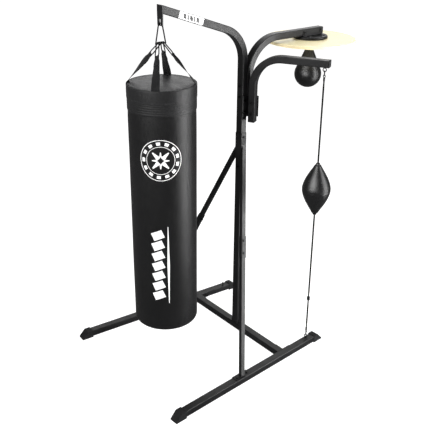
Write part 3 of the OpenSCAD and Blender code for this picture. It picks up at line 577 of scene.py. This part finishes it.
def make_bag_body():
    edge = 24 * MM
    wall_top = BAND_LOW + 12 * MM
    profile = [(0, BAG_LOW)]
    profile += [(r, BAG_LOW) for r in steps_between(0.02, BODY_R - edge, 0.012)]
    profile += arc(BODY_R - edge, BAG_LOW + edge, edge, -90, 0, 8)[1:]
    profile += [(BODY_R, z) for z in steps_between(BAG_LOW + edge, wall_top, 0.0085)[1:]]
    profile += [(BODY_R - 6 * MM, wall_top + 1 * MM)]

    def warp(angle, radius, height):
        side = min(1.0, max(0.0, (radius - 0.1) / 0.06))
        place = (math.cos(angle), math.sin(angle), height * 2)
        swell = 0.8 * MM * lumps(place, 0.55) + 0.35 * MM * lumps(place, 0.16, 7)
        tuck = 1.2 * MM * math.exp(-(((height - BAND_LOW) / 0.03) ** 2))
        seam = math.exp(-((from_seam(angle) / 0.012) ** 2))
        return radius + side * (swell - tuck - seam * 0.7 * MM), height + 0.4 * MM * (1 - side)

    vertices, faces = turned(profile, 176, BAG, warp=warp)
    body = add_piece("bag_body", vertices, faces, BAG_VINYL, "heavy_bag")
    pins = {}  # the ends are held, and the seam gives a little
    for vertex in body.data.vertices:
        height = vertex.co.z
        angle = math.atan2(vertex.co.y - BAG.y, vertex.co.x - BAG.x)
        if height > BAND_LOW - 4 * MM or height < BAG_LOW + 1 * MM:
            pins[vertex.index] = 1.0
        elif abs(from_seam(angle)) < 0.02:
            pins[vertex.index] = 0.9
    inflate(body, pins, 4.0, 2.2 * MM)
    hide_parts("bag_cover", "bag_filling")


def make_ribbed_band():
    height = BAND_SPLIT - BAND_LOW
    ribs = 5
    outer = []
    steps = 40
    for i in range(steps + 1):
        t = i / steps
        rib = 0.7 * MM * abs(math.sin(math.pi * ribs * t)) ** 0.7
        outer.append((BODY_R + 1.5 * MM + rib, BAND_LOW + height * t))
    profile = [(NECK_R + 0.6 * MM, BAND_LOW)] + outer + [(NECK_R + 0.6 * MM, BAND_SPLIT)]

    def warp(angle, radius, height_now):
        place = (2.2 * math.cos(angle), 2.2 * math.sin(angle), height_now * 6)
        outside = 1.0 if radius > BODY_R else 0.0
        bulge = outside * 0.3 * MM * lumps(place, 0.4, 3)
        return radius + bulge, height_now + outside * 0.5 * MM * lumps(place, 0.5, 11)

    vertices, faces = turned(profile, 220, BAG, loop=True, warp=warp)
    return add_piece("bag_ribbed_band", vertices, faces, BAND_VINYL_PAINTED_HIGHLIGHT, "heavy_bag")


def make_top_band():
    outer_r = BODY_R + 3.4 * MM
    inner_r = NECK_R + 3.3 * MM
    low, high = BAND_SPLIT - 1.5 * MM, BAND_TOP + 0.2 * MM
    profile = [(inner_r, low)]
    profile += arc(outer_r - 1.2 * MM, low + 1.2 * MM, 1.2 * MM, -90, 0, 3)
    for i in range(1, 8):
        t = i / 8
        bulge = 0.5 * MM * math.sin(math.pi * t)
        profile.append((outer_r + bulge, low + 1.2 * MM + (high - low - 3 * MM) * t))
    profile += arc(outer_r - 1.6 * MM, high - 1.6 * MM, 1.6 * MM, 0, 90, 4)
    profile += [(inner_r, high)]

    def warp(angle, radius, height):
        place = (1.5 * math.cos(angle), 1.5 * math.sin(angle), height * 4)
        pucker = 0.1 * MM * math.sin(angle * 96) * math.exp(-(((height - low) / 0.008) ** 2))
        return radius + 0.3 * MM * lumps(place, 0.5, 5) + (pucker if radius > inner_r + MM else 0), height

    vertices, faces = turned(profile, 288, BAG, loop=True, warp=warp)
    band = add_piece("bag_top_band", vertices, faces, BAND_VINYL_PAINTED_HIGHLIGHT, "heavy_bag")
    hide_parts("bag_bands")
    rows = [ring_row(BAG, outer_r + 0.2 * MM, low + 6 * MM), ring_row(BAG, outer_r + 0.1 * MM, high - 6 * MM)]
    rows.append(ring_row(BAG, outer_r + 0.25 * MM, low + 10 * MM))
    add_stitches("bag_band_stitches", rows, "heavy_bag")


def make_lid():
    lid_low, lid_high = (corner[2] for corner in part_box("bag_lid"))
    radius = NECK_R - 0.4 * MM
    rise = lid_high - lid_low - 5 * MM
    profile = [(0, lid_high)]
    for r in steps_between(0.012, radius - 2 * MM, 0.008):
        welt = 1.1 * MM * math.exp(-(((r - (radius - 14 * MM)) / 0.0022) ** 2))
        profile.append((r, lid_high - rise * (r / radius) ** 2 - welt))
    profile += [(radius, lid_high - rise - 2 * MM), (radius - MM, lid_low), (0, lid_low)]

    def warp(angle, r, height):
        place = (r * math.cos(angle), r * math.sin(angle), height)
        crease = lumps((math.cos(angle) * 2.6, math.sin(angle) * 2.6, r * 3), 0.35, 2)
        near_edge = (r / radius) ** 2 * (1 if height > lid_low + MM else 0)
        return r, height + near_edge * 1.5 * MM * crease + 0.7 * MM * lumps(place, 0.06, 9)

    vertices, faces = turned(profile, 160, BAG, warp=warp)
    lid = add_piece("bag_top_cover", vertices, faces, LID_VINYL_PAINTED_REFLECTION, "heavy_bag")
    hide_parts("bag_lid")
    row = ring_row(BAG, radius - 18 * MM, lid_high - rise * ((radius - 18 * MM) / radius) ** 2 + 0.3 * MM)
    add_stitches("bag_lid_stitches", [[(point, UP) for point, _ in row]], "heavy_bag")


make_bag_body()
make_ribbed_band()
make_top_band()
make_lid()


# ---- Straps ----

# Where each hook sits along the ring's bar, and the way its strap leaves, as in the CAD
HOOKS = {
    "strap_front_right": (-18.5 * MM, 1, -1),
    "strap_rear_right": (18.5 * MM, 1, 1),
    "strap_rear_left": (8.5 * MM, -1, 1),
    "strap_front_left": (-8.5 * MM, -1, -1),
}
RING_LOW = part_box("delta_ring")[0][2]
BAR_Z = RING_LOW + 3.8 * MM
HOOK_LEN = 68 * MM
HOOK_WIRE_R = 3 * MM
STRAP_W = 42 * MM
LOOP_W = 25 * MM
FOLD_LEN = 52 * MM  # how far the end is folded back along the strap from its hook
LOOP_LEN = 16 * MM  # how far from the hook the two layers stay apart
LAYER = 0.75 * MM  # from the middle of a strap's two layers to the middle of either


def make_strap(name, offset, sx, sy):
    start = Vector((0, BAG.y + offset, BAR_Z))
    reach = (NECK_R + 1.3 * MM) / math.sqrt(2)
    rim = Vector((sx * reach, BAG.y + sy * reach, BAND_TOP + 1.6 * MM))
    way = (rim - start).normalized()
    across = Vector((sx, 0, 0))
    across = (across - across.dot(way) * way).normalized()
    tangent = Vector((-sy, sx, 0)).normalized()
    if tangent.dot(across) < 0:
        tangent = -tangent
    outward = Vector((sx, sy, 0)).normalized()
    facing = across.cross(way).normalized()
    bend = start + way * HOOK_LEN
    total = (rim - bend).length
    loop_r = HOOK_WIRE_R + 0.9 * MM
    sheet = 1.4 * MM

    def width_at(distance):
        return LOOP_W + (STRAP_W - LOOP_W) * smooth(min(1.0, distance / (0.2 * total)))

    def gap_at(distance):
        return LAYER + (loop_r - LAYER) * max(0.0, 1 - distance / LOOP_LEN) ** 1.6

    def across_at(distance):
        t = smooth(min(1.0, max(0.0, (distance - 0.15 * total) / (0.85 * total))))
        return (across * (1 - t) + tangent * t).normalized()

    # the end that is folded back behind the strap and sewn down
    stations = []
    for distance in steps_between(FOLD_LEN, 0.004, 0.006):
        side = across_at(distance)
        normal = side.cross(way).normalized()
        place = bend + way * distance - normal * gap_at(distance)
        stations.append((place, side, normal, width_at(distance)))
    for i in range(9):
        turn = math.pi * i / 8
        point = bend - facing * loop_r * math.cos(turn) - way * loop_r * math.sin(turn)
        normal = facing * math.cos(turn) + way * math.sin(turn)
        stations.append((point, across, normal, LOOP_W))
    for distance in steps_between(0.004, total - 0.007, 0.006):
        side = across_at(distance)
        normal = side.cross(way).normalized()
        gap = gap_at(distance)
        if distance > FOLD_LEN:
            gap *= max(0.0, 1 - (distance - FOLD_LEN) / 0.03)
        # past the loop the strap's face keeps the same side, so the normal points the other way round
        stations.append((bend + way * distance + normal * gap, side, -normal, width_at(distance)))
    last_normal = stations[-1][2]
    knee = rim - way * 0.007
    down = -UP
    flip = 1 if last_normal.dot(outward) > 0 else -1
    for i in range(1, 7):
        t = i / 6
        point = knee * (1 - t) ** 2 + rim * 2 * t * (1 - t) + (rim + down * 0.007) * t**2
        heading = (way * (1 - t) + down * t).normalized()
        normal = tangent.cross(heading).normalized()
        if normal.dot(last_normal) < 0:
            normal = -normal
        last_normal = normal
        stations.append((point, tangent, normal, STRAP_W))
    for distance in (0.012, 0.03, 0.05):
        stations.append((rim + down * distance, tangent, outward * flip, STRAP_W))
    strap = add_ribbon(name + "_webbing", stations, sheet, "heavy_bag")
    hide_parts(name)

    def stitch_at(distance, share):
        """A point of the sewn box's outline, share being its place across the strap's width."""
        side = across_at(distance)
        normal = side.cross(way).normalized()
        return bend + way * distance + normal * 1.5 * MM + side * share * width_at(distance), normal

    near, far, edge = 18 * MM, 50 * MM, 0.36
    rows = [[stitch_at(d, share) for d in steps_between(near, far, 0.0045)] for share in (-edge, edge)]
    rows += [[stitch_at(d, share) for share in steps_between(-edge, edge, 0.14)] for d in (near, far)]
    add_stitches(name + "_stitches", rows, "heavy_bag")


for strap_name, (offset, sx, sy) in HOOKS.items():
    make_strap(strap_name, offset, sx, sy)


# ---- Printed marks on the bag ----

MARK_ANGLE = math.radians(-38.9)  # the way that the printed front faces, from +X
MARK_R = BODY_R + 2.2 * MM


def wrap(s, z):
    """Point of the bag's printed front at arc length s from its middle line, and height z."""
    angle = MARK_ANGLE + s / MARK_R
    return Vector((BAG.x + MARK_R * math.cos(angle), BAG.y + MARK_R * math.sin(angle), z))


def add_print(name, outlines):
    """Flat white shapes wrapped on the bag. Each outline is a strip: two lists of (s, z) of equal length."""
    vertices, faces = [], []
    for left, right in outlines:
        base = len(vertices)
        for a, b in zip(left, right):
            vertices += [wrap(*a), wrap(*b)]
        for i in range(len(left) - 1):
            k = base + 2 * i
            faces.append([k, k + 1, k + 3, k + 2])
    add_piece(name, vertices, faces, PRINT, "heavy_bag")


def ring_strip(z, inner, outer, start=0.0, end=360.0):
    steps = max(3, round((end - start) / 4))
    angles = [math.radians(start + (end - start) * i / steps) for i in range(steps + 1)]
    return (
        [(inner * math.cos(a), z + inner * math.sin(a)) for a in angles],
        [(outer * math.cos(a), z + outer * math.sin(a)) for a in angles],
    )


def bar_strip(s0, z0, s1, z1, width_0, width_1, steps=6):
    along = Vector((s1 - s0, z1 - z0)).normalized()
    side = Vector((-along.y, along.x))
    left, right = [], []
    for i in range(steps + 1):
        t = i / steps
        middle = Vector((s0 + (s1 - s0) * t, z0 + (z1 - z0) * t))
        half = (width_0 + (width_1 - width_0) * t) / 2
        left.append(tuple(middle + side * half))
        right.append(tuple(middle - side * half))
    return left, right


def make_round_emblem():
    """A ring of blocks round an eight-pointed star."""
    z = 1.302
    strips = [ring_strip(z, 0.1055, 0.1083), ring_strip(z, 0.0715, 0.0737)]
    blocks = 13
    for k in range(blocks):
        middle = 360 * (k + 0.5) / blocks
        strips.append(ring_strip(z, 0.0815, 0.0965, middle - 6.5, middle + 6.5))
    for k in range(4):
        turn = math.radians(90 * k + 45)
        tip = (0.058 * math.cos(turn), z + 0.058 * math.sin(turn))
        root = (0.013 * math.cos(turn), z + 0.013 * math.sin(turn))
        strips.append(bar_strip(*root, *tip, 0.024, 0.006))
        turn = math.radians(90 * k)
        tip = (0.044 * math.cos(turn), z + 0.044 * math.sin(turn))
        root = (0.020 * math.cos(turn), z + 0.020 * math.sin(turn))
        strips.append(bar_strip(*root, *tip, 0.012, 0.004))
    add_print("bag_round_emblem", strips)


def make_upright_bars():
    """A column of slanted blocks beside a thin double-pointed line."""
    top, bottom = 0.918, 0.500
    bars = []
    count = 7
    pitch = (top - bottom) / count
    for i in range(count):
        height = top - pitch * (i + 0.5)
        bars.append(bar_strip(-0.052, height - 0.012, 0.004, height + 0.012, pitch * 0.76, pitch * 0.76))
    middle = (top + bottom) / 2
    bars.append(bar_strip(0.030, middle, 0.030, top + 0.02, 0.013, 0.003, 16))
    bars.append(bar_strip(0.030, middle, 0.030, bottom - 0.02, 0.013, 0.003, 16))
    add_print("bag_upright_bars", bars)


make_round_emblem()
make_upright_bars()


# ---- Label on the main arm ----

ARM_RISE = math.radians(19)  # the main arm's rise toward its tip, as in the CAD


def make_label_bars():
    """Five slanted bars along the label's middle."""
    low, high = (Vector(corner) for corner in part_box("arm_label"))
    along = Vector((0, math.cos(ARM_RISE), -math.sin(ARM_RISE)))
    up = Vector((0, math.sin(ARM_RISE), math.cos(ARM_RISE)))
    middle = Vector((high.x + 0.15 * MM, (low.y + high.y) / 2, (low.z + high.z) / 2))
    vertices, faces = [], []
    height = 22 * MM
    for i, length in enumerate((17, 10, 18, 10, 17)):
        at = (i - 2) * 21 * MM
        base = len(vertices)
        for a, b in ((-1, -1), (1, -1), (1, 1), (-1, 1)):
            lean = 0.35 * b * height / 2
            vertices.append(middle + along * (at + a * length * MM / 2 - lean) + up * (b * height / 2))
        faces.append([base, base + 1, base + 2, base + 3])
    add_piece("arm_label_bars", vertices, faces, INK, "stand", smooth=False)


make_label_bars()


# ---- Balls ----

SPEED = centre("speed_ball")
SPEED_Z = 1.547  # the height of the round part's middle


def make_speed_ball():
    low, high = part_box("speed_ball")
    radius = (high[0] - low[0]) / 2
    neck_z = 1.6945
    neck_r = 20 * MM
    drop = neck_z - SPEED_Z
    lean = math.asin((radius - neck_r) / drop) - math.radians(2)
    profile = [(0, SPEED_Z - radius)]
    profile += arc(0, SPEED_Z, radius, -88, math.degrees(lean), 44)
    cone_r, cone_z = profile[-1]
    for t in steps_between(0, 1, 0.06)[1:]:
        profile.append((cone_r + (neck_r - cone_r) * t, cone_z + (neck_z - cone_z) * t))
    profile += arc(neck_r - 2 * MM, neck_z - 1 * MM, 2 * MM, 20, 90, 3)
    profile += [(8 * MM, neck_z + 0.6 * MM), (0, neck_z + 0.6 * MM)]

    def warp(angle, r, z):
        panel = abs(math.sin(angle * 2.0))
        seam = math.exp(-((panel / 0.02) ** 2)) if z < neck_z - 20 * MM and r > 6 * MM else 0
        gather = smooth(min(1.0, max(0.0, (z - 1.60) / 0.085)))
        pleat = gather * (0.9 * MM * math.cos(angle * 8) + 0.4 * MM * math.cos(angle * 24))
        return r - 0.6 * MM * seam + (pleat if r > 12 * MM else 0), z

    vertices, faces = turned(profile, 192, SPEED, warp=warp)
    ball = add_piece("speed_ball_leather", vertices, faces, BALL_LEATHER, "speed_ball")
    inflate(ball, {v.index: 1.0 for v in ball.data.vertices if v.co.z > neck_z - 30 * MM}, 3.0, 1.0 * MM)
    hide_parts("speed_ball")
    make_ball_loop(high[2], neck_z)
    return ball


def make_ball_loop(top, neck_z):
    """The leather tongue that goes over the swivel's pin and down into the ball's neck."""
    pin_z = top - 8.5 * MM
    root_z = neck_z - 3 * MM
    radius = 6.4 * MM
    width = 10.6 * MM
    across = Vector((1, 0, 0))
    stations = []
    for t in steps_between(0, 1, 0.2):
        place = Vector((SPEED.x, SPEED.y - radius, root_z + (pin_z - root_z) * t))
        stations.append((place, across, Vector((0, -1, 0)), width))
    for i in range(1, 12):
        turn = math.pi * i / 12
        out = Vector((0, -math.cos(turn), math.sin(turn)))
        stations.append((Vector((SPEED.x, SPEED.y, pin_z)) + out * radius, across, out, width))
    for t in steps_between(1, 0, 0.2):
        place = Vector((SPEED.x, SPEED.y + radius, root_z + (pin_z - root_z) * t))
        stations.append((place, across, Vector((0, 1, 0)), width))
    add_ribbon("speed_ball_loop", stations, 2.6 * MM, "speed_ball", BALL_LEATHER)


def make_double_ball():
    low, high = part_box("double_end_ball")
    ball = centre("double_end_ball")
    half = (high[2] - low[2]) / 2
    radius = (high[0] - low[0]) / 2
    span = half - 12 * MM
    tail = 11 * MM
    root = tail + 7 * MM
    socket = 7.5 * MM
    foot = ball.z - half
    profile = [(socket, foot + 20 * MM), (socket, foot + MM), (tail - MM, foot), (tail, foot + MM)]
    profile += [(tail, foot + 11 * MM)]
    steps = 56
    for i in range(-steps, steps + 1):
        t = abs(i) / steps
        r = root + (radius - root) * (0.8 * math.cos(math.pi / 2 * t) ** 1.1 + 0.2 * (1 - t))
        r = min(r, radius - 1.2 * MM * math.exp(-((t / 0.05) ** 2)))
        profile.append((r, ball.z + span * i / steps))
    head = ball.z + half
    profile += [(tail, head - 11 * MM), (tail, head - MM), (tail - MM, head), (0, head)]

    def warp(angle, r, z):
        seam = math.exp(-((abs(math.sin(angle * 2.0)) / 0.03) ** 2)) if r > root + 3 * MM else 0
        return r - 0.5 * MM * seam, z

    vertices, faces = turned(profile, 192, ball, warp=warp)
    shell = add_piece("double_end_leather", vertices, faces, BALL_LEATHER, "double_end_ball")
    pins = {v.index: 1.0 for v in shell.data.vertices if abs(v.co.z - ball.z) > span - 16 * MM}
    inflate(shell, pins, 2.0, 0.8 * MM)
    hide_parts("double_end_ball")
    return shell


LEATHER_BALLS = [make_speed_ball(), make_double_ball()]


# ---- Weld beads ----


def make_weld(name, corners, radius):
    """A row of overlapping ripples along a run of points, each a squashed ball."""
    vertices, faces = [], []
    rings, sides = 4, 8
    pitch = radius * 0.9
    for a, b in zip(corners, corners[1:]):
        along = (b - a).normalized()
        side = along.orthogonal().normalized()
        other = along.cross(side)
        count = max(2, round((b - a).length / pitch))
        for i in range(count):
            middle = a + (b - a) * (i + 0.5) / count
            faces += tube_faces(len(vertices), rings + 1, sides)
            for j in range(rings + 1):
                lean = math.pi * (j / rings - 0.5)
                for k in range(sides):
                    turn = 2 * math.pi * k / sides
                    out = (side * math.cos(turn) + other * math.sin(turn)) * max(0.05, math.cos(lean))
                    vertices.append(middle + (along * 0.8 * math.sin(lean) + out) * radius)
    add_piece(name, vertices, faces, POWDER, "stand")


def box_path(x, y, half_x, half_y, z):
    points = [(-1, -1), (1, -1), (1, 1), (-1, 1), (-1, -1)]
    return [Vector((x + a * half_x, y + b * half_y, z)) for a, b in points]


def make_welds():
    post_low, post_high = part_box("post_lower")
    middle = centre("post_lower")
    half_x, half_y = (post_high[0] - post_low[0]) / 2, (post_high[1] - post_low[1]) / 2
    path = box_path(middle.x, middle.y, half_x, half_y, post_low[2] + 0.6 * MM)
    make_weld("weld_post_foot", path, 2.2 * MM)


make_welds()


# ---- Studio ----

FLOOR_HALF = 30


def area_light(name, place, target, width, height, power, only=()):
    data = bpy.data.lights.new(name, "AREA")
    data.shape = "RECTANGLE"
    data.size = width
    data.size_y = height
    data.energy = power
    light = bpy.data.objects.new(name, data)
    bpy.context.collection.objects.link(light)
    light.location = place
    light.rotation_euler = (Vector(target) - Vector(place)).to_track_quat("-Z", "Y").to_euler()
    if only:
        receivers = bpy.data.collections.new(name + "_receivers")
        for piece in only:
            receivers.objects.link(piece)
        light.light_linking.receiver_collection = receivers


def make_backdrop(material):
    """A tall pale wall round the floor. It shows to the camera, and neither lights nor shades the object."""
    height, columns = 30, 64
    vertices, faces = turned([(FLOOR_HALF, -0.1), (FLOOR_HALF, height)], columns, Vector((0, 0, 0)))
    wall = add_piece("backdrop", vertices, faces, material, None)
    wall.visible_glossy = False
    wall.visible_diffuse = False
    wall.visible_shadow = False


def make_studio():
    half = FLOOR_HALF
    vertices = [(-half, -half, 0), (half, -half, 0), (half, half, 0), (-half, half, 0)]
    floor = add_piece("floor", vertices, [[0, 1, 2, 3]], floor_paint(), None, smooth=False)
    # the floor stays out of the reflections, so that the black surfaces keep dark edges
    floor.visible_glossy = False
    floor.visible_shadow = False
    make_backdrop(floor.data.materials[0])
    world = bpy.data.worlds.new("studio")
    world.use_nodes = True
    world.node_tree.nodes["Background"].inputs["Color"].default_value = (1, 1, 1, 1)
    world.node_tree.nodes["Background"].inputs["Strength"].default_value = 0.15
    bpy.context.scene.world = world
    bpy.context.scene.view_settings.view_transform = "Standard"
    area_light("right_strip", (2.31, 1.58, 1.25), (0.0, -0.35, 1.25), 1.0, 3.5, 185)
    area_light("top_box", (0.2, 0.2, 4.6), (0.0, 0.0, 1.0), 3.0, 3.0, 60)
    area_light("front_box", (0.6, -3.1, 2.4), (0.0, 0.0, 1.2), 2.6, 2.6, 110)
    # light linking lets this box reach only the two leather balls
    area_light("ball_box", (1.25, -2.95, 2.4), (0.2, 0.2, 1.2), 2.8, 2.6, 330, LEATHER_BALLS)
    area_light("back_wall", (-4.2, 3.2, 4.3), (0.0, 0.0, 2.6), 5.0, 3.8, 115)


make_studio()
